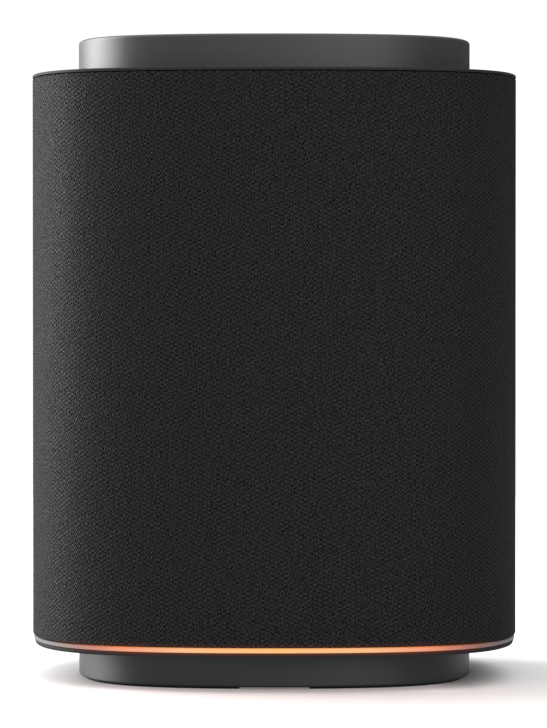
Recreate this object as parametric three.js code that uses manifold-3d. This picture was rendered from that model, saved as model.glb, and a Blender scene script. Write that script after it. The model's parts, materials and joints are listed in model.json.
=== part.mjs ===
// A smart speaker: an upright body with a square, softly rounded plan, wrapped in woven fabric.
// A control cap stands on top, a light strip runs around the foot, and a narrower base carries it.
// Millimetres, +Z up, the front faces -Y, and the origin is at the middle of the base's underside.

import * as THREE from 'three';
import { mergeVertices } from 'three/addons/utils/BufferGeometryUtils.js';
import Module from 'manifold-3d';

const wasm = await Module();
wasm.setup();

// Plan of the covers: half widths, and how square they are (2 is a circle, higher is squarer)
const BODY_HALF = 63;
const BODY_POWER = 2.83;
const CAP_HALF = 51; // the base is as wide as the cap
const CAP_POWER = 2.77;
const SKIN = 0.8; // thickness of the fabric
const WALL = 2.4; // thickness of the moulded covers
const SEAM = 0.15; // the dark line between two stacked covers
const GAP = 0.3; // clearance between two pieces that meet

// Levels from the table up
const BASE_LOW = 0.45;
const FLOOR_LOW = 1.6;
const FLOOR_HIGH = 4;
const RIM_LOW = 8.85;
const STRIP_LOW = 9.97;
const STRIP_HIGH = 11.3;
const LAMPS_LOW = 11.6;
const CHASSIS_LOW = 14.3;
const BOARDS_LOW = 19;
const TUB_LOW = 30;
const BAFFLE_LOW = 112.3;
const BAFFLE_HIGH = 115.3;
const UPPER_LOW = 150;
const DECK_LOW = 154.9;
const DECK_HIGH = 155.9;
const CONTROL_LOW = 157;
const PANEL_LOW = 162.6;
const PANEL_HIGH = 164.2;
const HEIGHT = 164.6;

// Insides
const INNER_HALF = 57.5; // the chassis plates
const TUB_HALF = 54;
const PLATE = 2; // thickness of the chassis plates
const BOARD = 1.6; // thickness of the circuit boards
const POST_PLACE = 40; // the chassis posts stand this far out along X and Y
const POST_RADIUS = 4;
const BASE_SCREW_PLACE = 30;
const WOOFER_SCREW_PLACE = 28.4;
const SCREW_RADIUS = 1.1;
const SCREW_HOLE = 1.5;
const CABLE_WIDTH = 16;
const CABLE_SLOT = [28, 32]; // where the cable passes the deck and the upper chassis

// Feet, inlet, buttons and tweeters
const FOOT_HIGH = 1.3;
const FOOT_SPLIT = 17.7; // the gap between the two feet, front and rear
const INLET_LEVEL = 5.5;
const INLET_HALF = 5;
const INLET_BORE = 2.95;
const INLET_FRONT = 34;
const INLET_REAR = 49.8;
const BUTTON_RADIUS = 6.5;
const BUTTON_PLACE = 19; // from the middle of the cap to each button
const SWITCH_HIGH = 160.3;
const MICROPHONE_PLACE = 20;
const TWEETER_TURN = Math.PI / 6; // each tweeter is turned this far from straight ahead
const TWEETER_PLACE = 48;
const TWEETER_LEVEL = 134.5;

// Facets around the covers, around the pieces inside, and around screws, posts and holes
const SKIN_STEPS = 60;
const INNER_STEPS = 28;
const SMALL_STEPS = 10;

const looks = {
  satin: { color: 0x35363a, roughness: 0.42, metalness: 0.25 },
  fabric: { color: 0x2a2a2c, roughness: 0.95, metalness: 0 },
  black: { color: 0x18181a, roughness: 0.6, metalness: 0 },
  diffuser: { color: 0xf6c99a, roughness: 0.35, metalness: 0 },
  rubber: { color: 0x101012, roughness: 0.9, metalness: 0 },
  board: { color: 0x124a2c, roughness: 0.55, metalness: 0.05 },
  steel: { color: 0x9a9ca0, roughness: 0.35, metalness: 1 },
  aluminium: { color: 0xb6b8bc, roughness: 0.4, metalness: 1 },
  ferrite: { color: 0x2c2c30, roughness: 0.7, metalness: 0.1 },
  paper: { color: 0x222224, roughness: 0.9, metalness: 0 },
  copper: { color: 0xb06a3a, roughness: 0.4, metalness: 1 },
  cable: { color: 0xd8d6cc, roughness: 0.6, metalness: 0 },
};
for (const name of Object.keys(looks)) {
  looks[name] = new THREE.MeshStandardMaterial({ name, ...looks[name] });
}

const speaker = new THREE.Group();

// A closed mesh as a solid that can be cut and joined, with its faces pointing out
function solid(geometry) {
  const bare = geometry.clone();
  bare.deleteAttribute('normal');
  bare.deleteAttribute('uv');
  const merged = mergeVertices(bare);
  const places = merged.attributes.position;
  const faces = [];
  let volume = 0;
  for (let i = 0; i < merged.index.count; i += 3) {
    const face = [0, 1, 2].map((k) => merged.index.getX(i + k));
    if (new Set(face).size < 3) continue;
    const [a, b, c] = face.map((k) => new THREE.Vector3().fromBufferAttribute(places, k));
    volume += a.dot(b.cross(c));
    faces.push(face);
  }
  if (volume < 0) faces.forEach((face) => face.reverse());
  const mesh = new wasm.Mesh({
    numProp: 3,
    vertProperties: Float32Array.from(places.array),
    triVerts: Uint32Array.from(faces.flat()),
  });
  return new wasm.Manifold(mesh);
}

// A profile of [radius, height] points, turned about Z
function turnedGeometry(profile, steps) {
  const points = profile.map(([radius, height]) => new THREE.Vector2(radius, height));
  if (profile[0][0] > 0) points.push(points[0].clone());
  return new THREE.LatheGeometry(points, steps).rotateX(Math.PI / 2);
}

function turned(profile, steps = INNER_STEPS) {
  return solid(turnedGeometry(profile, steps));
}

// The same, pushed out towards the corners, so that a radius becomes a half width
function squared(profile, power = BODY_POWER, steps = INNER_STEPS) {
  const geometry = turnedGeometry(profile, steps);
  const places = geometry.attributes.position;
  for (let i = 0; i < places.count; i += 1) {
    const angle = Math.atan2(places.getY(i), places.getX(i));
    const share = Math.abs(Math.cos(angle)) ** power + Math.abs(Math.sin(angle)) ** power;
    const push = share ** (-1 / power);
    places.setXY(i, places.getX(i) * push, places.getY(i) * push);
  }
  return solid(geometry);
}

// The profile of a plain ring, or of a plate when its inner radius is 0
function ring(inner, outer, low, high) {
  return [[inner, low], [outer, low], [outer, high], [inner, high]];
}

// Points along an arc about [radius, height], from one angle in degrees to another
function arc([x, z], radius, from, to, steps = 3) {
  return Array.from({ length: steps + 1 }, (_, i) => {
    const angle = THREE.MathUtils.degToRad(from + ((to - from) * i) / steps);
    return [x + radius * Math.cos(angle), z + radius * Math.sin(angle)];
  });
}

function block([x0, x1], [y0, y1], [z0, z1]) {
  const geometry = new THREE.BoxGeometry(x1 - x0, y1 - y0, z1 - z0);
  return solid(geometry.translate((x0 + x1) / 2, (y0 + y1) / 2, (z0 + z1) / 2));
}

function rod(radius, low, high, [x, y] = [0, 0], steps = SMALL_STEPS) {
  return solid(turnedGeometry(ring(0, radius, low, high), steps).translate(x, y, 0));
}

// A rod along Y at the inlet's level
function rodAlongY(radius, from, to) {
  const geometry = turnedGeometry(ring(0, radius, from, to), INNER_STEPS);
  return solid(geometry.rotateX(-Math.PI / 2).translate(0, 0, INLET_LEVEL));
}

// The four places [+-d, +-d], for posts, screws and their holes
function fourCorners(d) {
  return [[d, d], [-d, d], [-d, -d], [d, -d]];
}

function drilled(shape, places, radius, low, high) {
  return places.reduce((left, place) => left.subtract(rod(radius, low, high, place)), shape);
}

function add(name, shape, look, parent = speaker) {
  const { vertProperties, triVerts } = shape.getMesh();
  const geometry = new THREE.BufferGeometry();
  geometry.setAttribute('position', new THREE.BufferAttribute(vertProperties, 3));
  geometry.setIndex(new THREE.BufferAttribute(triVerts, 1));
  geometry.computeVertexNormals();
  const mesh = new THREE.Mesh(geometry, looks[look]);
  mesh.name = name;
  parent.add(mesh);
}

// Base: a shallow tub with a recessed underside and a notch for the inlet in its rear wall
function makeBase() {
  const high = RIM_LOW - SEAM;
  const edge = 0.5;
  const lip = CAP_HALF - 0.6;
  const outline = [
    [0, FLOOR_LOW], [lip, FLOOR_LOW], [lip, BASE_LOW],
    ...arc([CAP_HALF - edge, BASE_LOW + edge], edge, -80, 0, 2),
    [CAP_HALF, high], [CAP_HALF - WALL, high], [CAP_HALF - WALL, FLOOR_HIGH], [0, FLOOR_HIGH],
  ];
  const places = fourCorners(BASE_SCREW_PLACE);
  let housing = squared(outline, CAP_POWER, SKIN_STEPS);
  housing = drilled(housing, places, 3.1, 0, 3);
  housing = drilled(housing, places, SCREW_HOLE, 2, 5);
  const side = INLET_HALF + GAP;
  const notch = block([-side, side], [INLET_FRONT - GAP, BODY_HALF], [2.1, high + 1]);
  add('base_housing', housing.subtract(notch), 'satin');

  add('bottom_cover', squared(ring(0, 43.5, 0.8, FOOT_HIGH), CAP_POWER), 'black');

  let ballast = squared(ring(0, 46, FLOOR_HIGH + GAP, FLOOR_HIGH + 2.8), CAP_POWER);
  ballast = drilled(ballast, places, 3.7, FLOOR_HIGH, FLOOR_HIGH + 3);
  const inletRoom = block([-6, 6], [INLET_FRONT - 1, BODY_HALF], [FLOOR_HIGH, RIM_LOW]);
  add('ballast_plate', ballast.subtract(inletRoom), 'steel');

  places.forEach(([x, y], i) => {
    const shank = rod(SCREW_RADIUS, 2.7, RIM_LOW, [x, y]);
    const slot = block([x - 1.8, x + 1.8], [y - 0.4, y + 0.4], [1, 2.2]);
    add(`base_screw_${i + 1}`, rod(2.7, 1.75, 2.8, [x, y]).add(shank).subtract(slot), 'steel');
  });
}

// Two curved rubber feet in the base's recess
function makeFeet() {
  const both = squared(ring(44.5, 50.1, 0, FOOT_HIGH), CAP_POWER, SKIN_STEPS);
  const half = FOOT_SPLIT / 2;
  const past = [-BODY_HALF, BODY_HALF];
  const tall = [-1, FOOT_HIGH + 1];
  add('foot_left', both.intersect(block([-BODY_HALF, -half], past, tall)), 'rubber');
  add('foot_right', both.intersect(block([half, BODY_HALF], past, tall)), 'rubber');
}

// A socket for a round power plug, with its centre pin
function makeInlet() {
  const body = block([-INLET_HALF, INLET_HALF], [INLET_FRONT, INLET_REAR], [2.3, RIM_LOW - SEAM]);
  const bore = rodAlongY(INLET_BORE, 39, INLET_REAR + 1);
  const pin = rodAlongY(0.95, 38, 44.5);
  add('power_inlet', body.subtract(bore).add(pin), 'black');
}

// The rim plate, the light strip above it and the ring of lamps that feeds the strip
function makeLight() {
  const edge = BODY_HALF - 0.5;
  const high = STRIP_LOW - SEAM;
  const outline = [
    [44, RIM_LOW], [edge - 0.6, RIM_LOW], [edge, RIM_LOW + 0.5], [edge, high], [44, high],
  ];
  add('rim_plate', squared(outline, BODY_POWER, SKIN_STEPS), 'satin');

  const strip = ring(50, BODY_HALF - 0.3, STRIP_LOW, STRIP_HIGH);
  add('light_strip', squared(strip, BODY_POWER, SKIN_STEPS), 'diffuser');

  let board = squared(ring(48, INNER_HALF, LAMPS_LOW + 1.1, LAMPS_LOW + 2.2));
  const lamps = 12;
  const lampTurn = Math.PI / 20;
  for (let i = 0; i < lamps; i += 1) {
    const lamp = new THREE.BoxGeometry(3.5, 3, 1.2).translate(0, -54.5, LAMPS_LOW + 0.7);
    board = board.add(solid(lamp.rotateZ((i - (lamps - 1) / 2) * lampTurn)));
  }
  add('light_board', board, 'board');
}

// Lower chassis: a plate with posts up to the enclosure and bosses down to the base
function makeLowerChassis() {
  const high = CHASSIS_LOW + PLATE;
  let chassis = squared(ring(0, INNER_HALF, CHASSIS_LOW, high));
  for (const place of fourCorners(POST_PLACE)) {
    chassis = chassis.add(rod(POST_RADIUS, high - 1, TUB_LOW - GAP, place));
  }
  for (const place of fourCorners(BASE_SCREW_PLACE)) {
    chassis = chassis.add(rod(3.3, FLOOR_HIGH + GAP, high - 1, place));
  }
  chassis = drilled(chassis, fourCorners(BASE_SCREW_PLACE), SCREW_HOLE, 0, CHASSIS_LOW - 2);
  for (const [x, y] of fourCorners(1)) {
    chassis = chassis.add(rod(2.2, high - 1, BOARDS_LOW - GAP, [x * 28, y * 26 + 8]));
  }
  add('lower_chassis', chassis, 'black');
}

// The boards under the enclosure, with a shield can and a finned heatsink on them
function makeElectronics() {
  const boards = [BOARDS_LOW, BOARDS_LOW + BOARD];
  const on = BOARDS_LOW + BOARD + GAP;
  add('main_board', block([-34, 34], [-21, 37], boards), 'board');
  add('processor_shield', block([-20, 12], [-12, 18], [on, on + 3]), 'steel');
  add('amplifier_board', block([-30, 30], [-45, -25], boards), 'board');
  const deep = [-43, -27];
  let heatsink = block([-24, 24], deep, [on, on + 2]);
  const fin = 2;
  const finPitch = 6.5;
  for (let x = -24; x < 24; x += finPitch) {
    heatsink = heatsink.add(block([x, x + fin], deep, [on + 1, on + 7.6]));
  }
  add('heatsink', heatsink, 'aluminium');
}

// The sealed enclosure behind the woofer, its gasket, and the baffle that closes it
function makeEnclosure() {
  const high = BAFFLE_LOW - 2 * GAP;
  const inner = TUB_HALF - WALL;
  const outline = [
    [0, TUB_LOW], [TUB_HALF, TUB_LOW], [TUB_HALF, high],
    [inner, high], [inner, TUB_LOW + WALL], [0, TUB_LOW + WALL],
  ];
  const tub = squared(outline).subtract(rod(2.5, TUB_LOW - 1, TUB_LOW + 4, [0, 40]));
  add('enclosure_tub', tub, 'black');
  const gasket = ring(inner + 0.1, TUB_HALF - 0.4, high + SEAM, BAFFLE_LOW - SEAM);
  add('enclosure_gasket', squared(gasket), 'rubber');

  const through = [BAFFLE_LOW - 1, BAFFLE_HIGH + 1];
  let baffle = squared(ring(0, TUB_HALF, BAFFLE_LOW, BAFFLE_HIGH));
  baffle = baffle.subtract(rod(37, ...through, [0, 0], INNER_STEPS));
  baffle = drilled(baffle, fourCorners(WOOFER_SCREW_PLACE), SCREW_HOLE, ...through);
  add('woofer_baffle', baffle, 'black');
}

// Woofer, firing upwards: the fixed frame, magnet and screws
function makeWooferFrame() {
  add('woofer_gasket', turned(ring(37, 38.2, 115.5, 116.1)), 'rubber');

  const outline = [
    [42.5, 118.8], [42.5, 116.3], [36.5, 116.3], [27.5, 90], [27.5, 88], [13.5, 88], [13.5, 90],
    [22.3, 90], [22.3, 97], [25.5, 97], [33.2, 117], [33.2, 118.8],
  ];
  let basket = turned(outline);
  const windowPairs = 3;
  for (let i = 0; i < windowPairs; i += 1) {
    const window = new THREE.BoxGeometry(90, 16, 13).translate(0, 0, 105.5);
    basket = basket.subtract(solid(window.rotateZ((i * Math.PI) / windowPairs)));
  }
  const places = fourCorners(WOOFER_SCREW_PLACE);
  add('woofer_basket', drilled(basket, places, SCREW_HOLE, 110, 120), 'black');

  places.forEach((place, i) => {
    const screw = rod(2.2, 119.1, 120.4, place).add(rod(SCREW_RADIUS, 112.8, 119.2, place));
    add(`woofer_screw_${i + 1}`, screw, 'steel');
  });

  add('woofer_top_plate', turned(ring(12.2, 24, 84, 87.7)), 'steel');
  add('woofer_magnet', turned(ring(13.8, 26, 72, 83.7)), 'ferrite');
  const yoke = [[0, 66], [24, 66], [24, 71.7], [9.6, 71.7], [9.6, 87.7], [0, 87.7]];
  add('woofer_yoke', turned(yoke), 'steel');
}

// Woofer: the cone, dust cap and voice coil that move together, and the two rings that flex with them
function makeWooferMover() {
  const roll = [
    [28.4, 119.2], [28.4, 118.5], ...arc([33.3, 119.1], 2.4, 180, 0, 6),
    [37.4, 119.1], [37.4, 119.8], ...arc([33.3, 119.2], 3, 12, 168, 6),
  ];
  add('woofer_surround', turned(roll), 'rubber');

  const cone = [
    [30.3, 118.2], [28.2, 118.2], [11.9, 101], [11.9, 99.6], [12.6, 99.6], [12.6, 100.4],
    [28.5, 117.5], [30.3, 117.5],
  ];
  add('woofer_cone', turned(cone), 'paper');

  const cap = [...arc([0, 86.2], 22.5, 90, 52), ...arc([0, 86.2], 21.8, 52, 90)];
  add('woofer_dust_cap', turned(cap), 'paper');
  add('voice_coil', turned(ring(10.4, 11.4, 82, 101)), 'copper');

  const folds = 6;
  const wave = (height) => Array.from({ length: folds + 1 }, (_, i) => {
    return [12.4 + (9 * i) / folds, height + (i % 2 ? -0.9 : 0.9)];
  });
  const spider = [
    [11.7, 98.2], ...wave(98.2), [25.2, 98.2], [25.2, 97.6], ...wave(97.6).reverse(), [11.7, 97.6],
  ];
  add('woofer_spider', turned(spider), 'paper');
}

// Each tweeter is made along its own Z and turned to face forwards and outwards
function makeTweeter(side, turn) {
  const swing = new THREE.Group();
  swing.rotation.z = turn;
  const mount = new THREE.Group();
  mount.position.set(0, -TWEETER_PLACE, TWEETER_LEVEL);
  mount.rotation.x = Math.PI / 2;
  swing.add(mount);
  speaker.add(swing);

  const bracket = block([-4, 4], [11, 15.2], [-1.5, 1.5]);
  add(`tweeter_frame_${side}`, turned(ring(9.3, 12.5, -1.5, 1.5)).add(bracket), 'black', mount);
  const dome = [...arc([0, -8], 11.4, 90, 42), ...arc([0, -8], 10.9, 42, 90)];
  add(`tweeter_dome_${side}`, turned(dome), 'paper', mount);
  add(`tweeter_motor_${side}`, rod(11, -9.5, -1.8, [0, 0], INNER_STEPS), 'ferrite', mount);
}

// Upper chassis: a plate on four posts, with the cone that spreads the woofer's sound
function makeUpperChassis() {
  let chassis = squared(ring(0, INNER_HALF, UPPER_LOW, UPPER_LOW + PLATE));
  for (const place of fourCorners(POST_PLACE)) {
    chassis = chassis.add(rod(POST_RADIUS, BAFFLE_HIGH + GAP, UPPER_LOW + 1, place));
  }
  const slot = block([-9, 9], CABLE_SLOT, [UPPER_LOW - 1, UPPER_LOW + 3]);
  add('upper_chassis', chassis.subtract(slot), 'black');

  const tip = 127;
  const flareHigh = 147.7;
  const flareSteps = 6;
  const flare = Array.from({ length: flareSteps + 1 }, (_, i) => {
    const rise = i / flareSteps;
    return [2 + 26 * rise ** 2.2, tip + (flareHigh - tip) * rise];
  });
  add('sound_spreader', turned([[0, tip], ...flare, [28, UPPER_LOW - GAP], [0, UPPER_LOW - GAP]]), 'black');
}

// The open-work frame that holds the fabric, and the fabric itself
function makeGrille() {
  const outer = BODY_HALF - SKIN - GAP;
  const wall = ring(outer - 1.7, outer, LAMPS_LOW + GAP, DECK_LOW - SKIN);
  let frame = squared(wall, BODY_POWER, SKIN_STEPS);
  const pairs = 10;
  for (let i = 0; i < pairs; i += 1) {
    for (const level of [38, 83, 128]) {
      const slot = new THREE.BoxGeometry(3 * BODY_HALF, 8, 38).translate(0, 0, level);
      frame = frame.subtract(solid(slot.rotateZ(((i + 0.5) * Math.PI) / pairs)));
    }
  }
  add('grille_frame', frame, 'black');
  const sleeve = ring(BODY_HALF - SKIN, BODY_HALF, STRIP_HIGH + SEAM, DECK_LOW - SEAM);
  add('fabric_sleeve', squared(sleeve, BODY_POWER, SKIN_STEPS), 'fabric');
}

// The deck closes the body. Its edge shows as a thin line above the fabric, and a rib locates the grille.
function makeDeck() {
  const ribLow = DECK_LOW - 2.4;
  const edge = 0.3;
  const outline = [
    [0, DECK_LOW], [58, DECK_LOW], [58, ribLow], [59.6, ribLow], [59.6, DECK_LOW],
    [BODY_HALF, DECK_LOW], [BODY_HALF, DECK_HIGH - edge], [BODY_HALF - edge, DECK_HIGH], [0, DECK_HIGH],
  ];
  const slot = block([-9, 9], CABLE_SLOT, [ribLow, DECK_HIGH + 1]);
  add('top_deck', squared(outline, BODY_POWER, SKIN_STEPS).subtract(slot), 'satin');
}

function buttonPlaces() {
  return {
    volume_up_button: [BUTTON_PLACE, 0],
    volume_down_button: [-BUTTON_PLACE, 0],
    action_button: [0, -BUTTON_PLACE],
    microphone_off_button: [0, BUTTON_PLACE],
  };
}

// Control cap: a round-edged cover with a panel let into its top
function makeCap() {
  const edge = 1.4;
  const low = DECK_HIGH + SEAM;
  const step = PANEL_HIGH - 1;
  const outline = [
    [40, step], [40, HEIGHT], ...arc([CAP_HALF - edge, HEIGHT - edge], edge, 90, 0, 4),
    [CAP_HALF, low], [CAP_HALF - WALL, low], [CAP_HALF - WALL, PANEL_LOW - GAP], [38, PANEL_LOW - GAP],
    [38, step],
  ];
  add('top_cap', squared(outline, CAP_POWER, SKIN_STEPS), 'satin');

  const panelOutline = [
    [0, PANEL_LOW], [37.7, PANEL_LOW], [37.7, step + GAP], [39.7, step + GAP], [39.7, PANEL_HIGH],
    [0, PANEL_HIGH],
  ];
  const through = [PANEL_LOW - 1, PANEL_HIGH + 1];
  let panel = squared(panelOutline, CAP_POWER, SKIN_STEPS);
  for (const place of Object.values(buttonPlaces())) {
    panel = panel.subtract(rod(BUTTON_RADIUS + GAP, ...through, place, INNER_STEPS));
  }
  const holes = [-MICROPHONE_PLACE, MICROPHONE_PLACE].map((x) => [x, -MICROPHONE_PLACE]);
  add('control_panel', drilled(panel, holes, 0.7, ...through), 'black');
}

// Each button's flange keeps it under the panel, and its stem sits in the well of a switch.
function makeControls() {
  const boardHigh = CONTROL_LOW + 1.2;
  add('control_board', turned(ring(0, 36, CONTROL_LOW, boardHigh)), 'board');

  for (const [name, [x, y]] of Object.entries(buttonPlaces())) {
    const head = turnedGeometry([
      [0, 161.5], [8.2, 161.5], [8.2, 162.1], [BUTTON_RADIUS, 162.1], [BUTTON_RADIUS, HEIGHT],
      [0, HEIGHT - 0.4],
    ], INNER_STEPS);
    const stem = rod(1.9, 159.7, 161.8, [x, y]);
    add(name, solid(head.translate(x, y, 0)).add(stem), 'satin');
    const body = block([x - 3.5, x + 3.5], [y - 3.5, y + 3.5], [boardHigh + GAP, SWITCH_HIGH]);
    const well = rod(2.3, 159.1, SWITCH_HIGH + 1, [x, y]);
    add(name.replace('button', 'switch'), body.subtract(well), 'black');
  }

  for (const [side, x] of [['left', -MICROPHONE_PLACE], ['right', MICROPHONE_PLACE]]) {
    const deep = [-MICROPHONE_PLACE - 1.5, -MICROPHONE_PLACE + 1.5];
    const microphone = block([x - 2, x + 2], deep, [boardHigh + GAP, boardHigh + 1.4]);
    add(`microphone_${side}`, microphone, 'steel');
  }
}

// A flat cable from the control board, down behind the enclosure, to the main board
function makeCable() {
  const half = 0.25;
  const route = [[30, 156.7], [30, 148], [57, 148], [57, 24], [33, 24], [33, 20.9]];
  const side = (sign) => route.map(([y, z], i) => {
    const before = route[i - 1] ?? route[i];
    const after = route[i + 1] ?? route[i];
    const across = Math.sign(after[1] - before[1]) * sign * half;
    const along = Math.sign(after[0] - before[0]) * sign * half;
    return new THREE.Vector2(y - across, z + along);
  });
  const outline = new THREE.Shape([...side(1), ...side(-1).reverse()]);
  const strip = new THREE.ExtrudeGeometry(outline, { depth: CABLE_WIDTH, bevelEnabled: false });
  strip.translate(0, 0, -CABLE_WIDTH / 2).rotateX(Math.PI / 2).rotateZ(Math.PI / 2);
  add('ribbon_cable', solid(strip), 'cable');
}

makeBase();
makeFeet();
makeInlet();
makeLight();
makeLowerChassis();
makeElectronics();
makeEnclosure();
makeWooferFrame();
makeWooferMover();
makeTweeter('left', -TWEETER_TURN);
makeTweeter('right', TWEETER_TURN);
makeUpperChassis();
makeGrille();
makeDeck();
makeCap();
makeControls();
makeCable();

export default speaker;
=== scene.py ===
# %% [markdown]
# # A fabric-wrapped smart speaker
# The speaker is a stack of covers around a frame: a base, a rim with a strip of light, a cloth sleeve, a thin
# deck and a control cap. Every cover has the same plan, a square whose sides bulge and whose corners are soft.
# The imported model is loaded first. It gives the sizes, and each finer cover made here stands where it says.

# %% Load the frame
import bpy
import json
import math
import numpy
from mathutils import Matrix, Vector


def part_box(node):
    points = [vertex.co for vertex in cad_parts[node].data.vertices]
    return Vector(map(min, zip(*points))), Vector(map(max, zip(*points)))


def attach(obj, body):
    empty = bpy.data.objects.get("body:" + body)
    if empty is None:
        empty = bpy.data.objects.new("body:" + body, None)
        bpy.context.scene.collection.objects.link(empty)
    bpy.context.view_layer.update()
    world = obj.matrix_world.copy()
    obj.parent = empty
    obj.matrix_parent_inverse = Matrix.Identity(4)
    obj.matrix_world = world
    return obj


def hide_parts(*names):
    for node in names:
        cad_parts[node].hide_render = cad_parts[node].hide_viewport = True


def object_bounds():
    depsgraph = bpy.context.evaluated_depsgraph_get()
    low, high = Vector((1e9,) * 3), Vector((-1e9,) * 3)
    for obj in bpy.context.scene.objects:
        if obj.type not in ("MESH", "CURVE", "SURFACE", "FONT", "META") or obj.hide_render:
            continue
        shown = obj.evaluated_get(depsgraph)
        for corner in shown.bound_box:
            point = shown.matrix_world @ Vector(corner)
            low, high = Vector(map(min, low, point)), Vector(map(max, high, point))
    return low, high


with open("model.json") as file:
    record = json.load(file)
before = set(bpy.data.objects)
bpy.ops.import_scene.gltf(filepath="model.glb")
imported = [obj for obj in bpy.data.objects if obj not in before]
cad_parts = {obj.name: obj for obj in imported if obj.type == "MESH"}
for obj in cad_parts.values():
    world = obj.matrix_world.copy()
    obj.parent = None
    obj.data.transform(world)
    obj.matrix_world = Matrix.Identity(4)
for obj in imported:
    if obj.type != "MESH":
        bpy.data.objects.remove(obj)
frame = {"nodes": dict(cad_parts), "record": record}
cad_low, cad_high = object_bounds()
MM = 0.001
print("loaded", len(frame["nodes"]), "nodes; height", round(cad_high.z / MM, 1), "mm")

# %% [markdown]
# ## The camera
# A product shot is taken from far away with a long lens, so that upright edges stay upright. The lens here stands
# 1.23 m off, a little above the middle of the speaker, and looks down by one degree.

# %% Camera
LENS = 232.4
SENSOR = 36
CAMERA_FAR = 1.231
CAMERA_HIGH = 0.1029
CAMERA_LEFT = 0.0002
TILT_DOWN = 1.024
camera_data = bpy.data.cameras.new("camera")
camera_data.lens = LENS
camera_data.sensor_width = SENSOR
camera = bpy.data.objects.new("camera", camera_data)
camera.location = (-CAMERA_LEFT, -CAMERA_FAR, CAMERA_HIGH)
camera.rotation_euler = (math.radians(90 - TILT_DOWN), 0, 0)
bpy.context.collection.objects.link(camera)
bpy.context.scene.camera = camera
bpy.context.scene.view_settings.view_transform = "Standard"
print("camera", tuple(round(c, 3) for c in camera.location))


# %% [markdown]
# ## Writing shader maths
# A material is a graph of nodes, and sums in it are Math nodes. They are easier to read as sums, so one small
# class wraps a socket and turns +, -, * and / into Math nodes.


# %% A socket that can be used in sums
class Number:
    """An output socket whose number changes over the surface."""

    def __init__(self, finish, socket):
        self.finish = finish
        self.socket = socket

    def sum(self, operation, *values, clamp=False):
        node = self.finish.add("ShaderNodeMath", {"operation": operation, "use_clamp": clamp}, dict(enumerate(values)))
        return Number(self.finish, node.outputs[0])

    def __add__(self, other):
        return self.sum("ADD", self, other)

    def __sub__(self, other):
        return self.sum("SUBTRACT", self, other)

    def __rsub__(self, other):
        return self.sum("SUBTRACT", other, self)

    def __mul__(self, other):
        return self.sum("MULTIPLY", self, other)

    def __truediv__(self, other):
        return self.sum("DIVIDE", self, other)

    __radd__ = __add__
    __rmul__ = __mul__

    def sine(self):
        return self.sum("SINE", self)

    def size(self):
        return self.sum("ABSOLUTE", self)

    def whole(self):
        return self.sum("FLOOR", self)

    def power(self, exponent):
        return self.sum("POWER", self, exponent)

    def between(self, low, high):
        """0 below low, 1 above high, and even in between."""
        return self.sum("DIVIDE", self - low, high - low, clamp=True)


# %% [markdown]
# ## Building a material
# Every other node comes from one method that names its kind, its settings and what its sockets take. The nodes that
# many materials share, such as noise and a blend of two colours, have short names.


# %% Graphs and finishes
class Graph:
    """A tree of shader nodes, and one method that adds any node to it."""

    def __init__(self, tree):
        self.tree = tree

    def feed(self, socket, value):
        if isinstance(value, Number):
            value = value.socket
        if isinstance(value, bpy.types.NodeSocket):
            self.tree.links.new(value, socket)
        else:
            socket.default_value = value

    def add(self, kind, settings=None, sockets=None):
        node = self.tree.nodes.new(kind)
        for name, value in (settings or {}).items():
            setattr(node, name, value)
        for name, value in (sockets or {}).items():
            self.feed(node.inputs[name], value)
        return node

    def place(self):
        """The place on the object, in metres."""
        return self.add("ShaderNodeTexCoord").outputs["Object"]

    def axes(self, vector):
        parts = self.add("ShaderNodeSeparateXYZ", None, {"Vector": vector})
        return [Number(self, parts.outputs[axis]) for axis in "XYZ"]

    def noise(self, scale, detail=2.0, vector=None, roughness=0.5):
        sockets = {"Scale": scale, "Detail": detail, "Roughness": roughness, "Vector": vector or self.place()}
        return Number(self, self.add("ShaderNodeTexNoise", None, sockets).outputs["Fac"])

    def blend(self, amount, first, second):
        """A colour between two colours."""
        node = self.add("ShaderNodeMix", {"data_type": "RGBA"}, {"Factor": amount})
        for socket, value in ((node.inputs[6], first), (node.inputs[7], second)):
            self.feed(socket, (*value, 1) if isinstance(value, tuple) else value)
        return node.outputs[2]

    def random(self, *cell):
        """A random number for each whole-numbered cell."""
        corner = self.add("ShaderNodeCombineXYZ", None, dict(enumerate(cell))).outputs["Vector"]
        return Number(self, self.add("ShaderNodeTexWhiteNoise", None, {"Vector": corner}).outputs["Value"])

    def ramp(self, amount, stops):
        """A colour that follows (place, colour) stops."""
        node = self.add("ShaderNodeValToRGB", None, {"Fac": amount})
        for place, _ in stops[2:]:
            node.color_ramp.elements.new(place)
        for element, (place, color) in zip(node.color_ramp.elements, stops):
            element.position = place
            element.color = (*color, 1)
        return node.outputs["Color"]


class Finish(Graph):
    """One material and its Principled shader."""

    def __init__(self, name, color, roughness, **more):
        self.material = bpy.data.materials.new(name)
        self.material.use_nodes = True
        super().__init__(self.material.node_tree)
        self.shader = self.tree.nodes["Principled BSDF"]
        self.set("Base Color", (*color, 1))
        self.set("Roughness", roughness)
        for socket, value in more.items():
            self.set(socket.replace("_", " ").title().replace("Ior", "IOR"), value)

    def set(self, socket, value):
        self.feed(self.shader.inputs[socket], value)

    def show_instead(self, share, other):
        """Shows another shader as far as the share says."""
        both = self.add("ShaderNodeMixShader", None, {0: share, 1: self.shader.outputs["BSDF"], 2: other})
        self.feed(self.tree.nodes["Material Output"].inputs["Surface"], both.outputs["Shader"])

    def bump(self, height, depth, strength=1.0):
        """Relief of a given depth in metres, for a height from 0 to 1."""
        sockets = {"Height": height, "Distance": depth, "Strength": strength}
        self.set("Normal", self.add("ShaderNodeBump", None, sockets).outputs["Normal"])


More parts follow.
